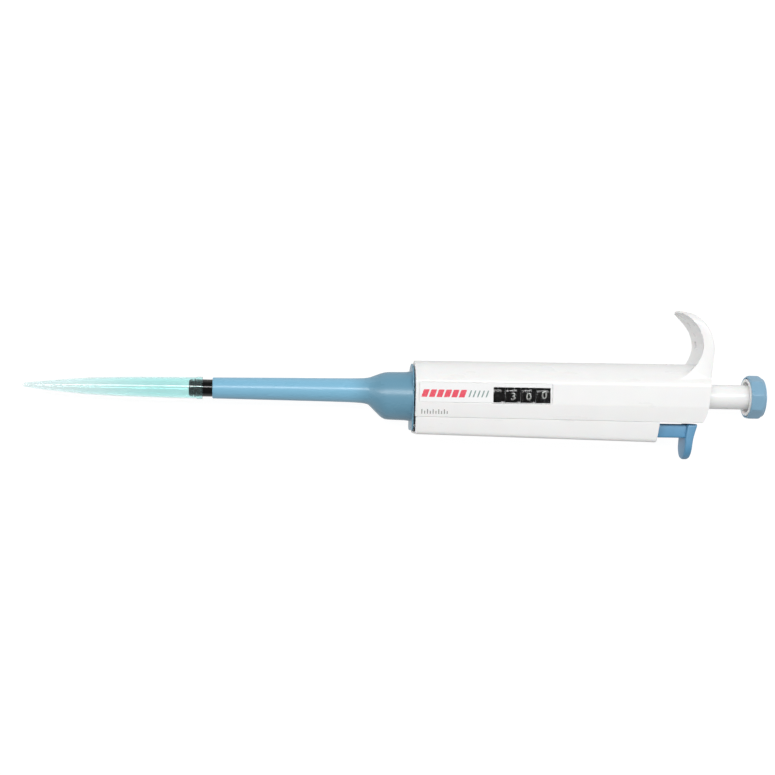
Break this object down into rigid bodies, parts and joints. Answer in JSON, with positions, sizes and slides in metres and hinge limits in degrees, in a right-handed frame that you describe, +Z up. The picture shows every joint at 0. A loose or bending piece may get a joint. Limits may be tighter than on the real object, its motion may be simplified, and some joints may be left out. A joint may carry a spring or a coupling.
{
  "type": "adjustable micropipette",
  "caption": "Adjustable single-channel micropipette with finger hook, push button, tip ejector, number window and a fitted disposable tip.",
  "frame": {"origin": "on the rear flank of the handle, which is the face it lies on, under the plunger axis and near the handle's middle", "axes": "+X along the plunger axis from tip to push button, +Y towards the finger hook, +Z up, out of the number window"},
  "size_m": [0.3053, 0.0607, 0.0206],
  "materials": {
    "white_plastic": "satin moulded white",
    "label_film": "smooth white film",
    "clear_lens": "clear",
    "blue_plastic": "satin moulded grey-blue",
    "button_blue": "satin moulded light blue",
    "clear_teal_plastic": "translucent teal",
    "black_plastic": "satin black",
    "black_rubber": "matt",
    "grey_polymer": "satin",
    "seal_polymer": "satin off-white",
    "steel": "ground and polished",
    "brass": "turned"
  },
  "bodies": {
    "handle": {"handle_shell": "white_plastic", "ejector_cover": "white_plastic", "label_plate": "label_film", "window_lens": "clear_lens", "nozzle_barrel": "black_plastic", "nozzle_o_ring": "black_rubber", "barrel_nut": "grey_polymer", "piston_seal": "seal_polymer", "seal_o_ring": "black_rubber", "seal_retainer": "grey_polymer", "piston_spring": "steel", "counter_core": "grey_polymer", "pinion_shaft": "steel", "spring_seat": "grey_polymer", "blowout_spring": "steel", "screw_nut": "brass", "top_bush": "white_plastic", "ejector_guide": "grey_polymer", "ejector_spring": "steel"},
    "ejector": {"ejector_sleeve": "blue_plastic", "ejector_rod": "steel", "ejector_rod_collar": "steel", "ejector_button": "blue_plastic"},
    "tip": {"pipette_tip": "clear_teal_plastic"},
    "carriage": {"thrust_ring": "grey_polymer"},
    "screw": {"volume_screw": "brass"},
    "plunger": {"button_cap": "button_blue", "button_liner": "white_plastic", "plunger_stem": "white_plastic", "push_rod": "steel", "rod_collar": "brass", "piston_head": "grey_polymer", "piston": "steel"},
    "ones": {"drum_ones": "black_plastic", "drive_hub": "grey_polymer"},
    "tens": {"drum_tens": "black_plastic"},
    "hundreds": {"drum_hundreds": "black_plastic"},
    "thousands": {"drum_thousands": "black_plastic"},
    "carry_1": {"carry_pinion_1": "seal_polymer"},
    "carry_2": {"carry_pinion_2": "seal_polymer"},
    "carry_3": {"carry_pinion_3": "seal_polymer"}
  },
  "joints": [
    {"name": "ejector_press", "type": "slide", "parent": "handle", "child": "ejector", "axis": [-1, 0, 0], "range_m": [0, 0.009], "stiffness_N_per_m": 300, "springref_m": -0.004, "deforming": ["ejector_spring"]},
    {"name": "tip_release", "type": "slide", "parent": "ejector", "child": "tip", "axis": [-1, 0, 0], "range_m": [0, 0.008]},
    {"name": "carriage_shift", "type": "slide", "parent": "handle", "child": "carriage", "axis": [1, 0, 0], "range_m": [-0.0032, 0.0112], "deforming": ["piston_spring"]},
    {"name": "volume_dial", "type": "hinge", "parent": "carriage", "child": "screw", "pos_m": [0, 0, 0.0103], "axis": [1, 0, 0], "range_deg": [-1440, 5040]},
    {"name": "plunger_press", "type": "slide", "parent": "screw", "child": "plunger", "axis": [-1, 0, 0], "range_m": [0, 0.0088], "stiffness_N_per_m": 600, "springref_m": -0.005, "deforming": ["piston_spring", "blowout_spring"]},
    {"name": "ones_turn", "type": "hinge", "parent": "handle", "child": "ones", "pos_m": [0, 0, 0.0103], "axis": [1, 0, 0], "range_deg": [-1441.44, 5045.04]},
    {"name": "tens_turn", "type": "hinge", "parent": "handle", "child": "tens", "pos_m": [0, 0, 0.0103], "axis": [1, 0, 0], "range_deg": [-720.72, 2522.52]},
    {"name": "hundreds_turn", "type": "hinge", "parent": "handle", "child": "hundreds", "pos_m": [0, 0, 0.0103], "axis": [1, 0, 0], "range_deg": [-72.07, 252.25]},
    {"name": "thousands_turn", "type": "hinge", "parent": "handle", "child": "thousands", "pos_m": [0, 0, 0.0103], "axis": [1, 0, 0], "range_deg": [-7.21, 25.23]},
    {"name": "carry_3_turn", "type": "hinge", "parent": "handle", "child": "carry_3", "pos_m": [0, 0.0091, 0.0103], "axis": [1, 0, 0], "range_deg": [-12612.6, 3603.6]},
    {"name": "carry_2_turn", "type": "hinge", "parent": "handle", "child": "carry_2", "pos_m": [0, 0.0091, 0.0103], "axis": [1, 0, 0], "range_deg": [-1261.26, 360.36]},
    {"name": "carry_1_turn", "type": "hinge", "parent": "handle", "child": "carry_1", "pos_m": [0, 0.0091, 0.0103], "axis": [1, 0, 0], "range_deg": [-126.13, 36.04]}
  ],
  "couplings": [
    {"joint": "carriage_shift", "follows": "volume_dial", "m_per_rad": 0.00012732},
    {"joint": "ones_turn", "follows": "volume_dial", "ratio": 1},
    {"joint": "tens_turn", "follows": "volume_dial", "ratio": 0.5},
    {"joint": "hundreds_turn", "follows": "volume_dial", "ratio": 0.05},
    {"joint": "thousands_turn", "follows": "volume_dial", "ratio": 0.005},
    {"joint": "carry_3_turn", "follows": "volume_dial", "ratio": -2.5},
    {"joint": "carry_2_turn", "follows": "volume_dial", "ratio": -0.25},
    {"joint": "carry_1_turn", "follows": "volume_dial", "ratio": -0.025}
  ]
}
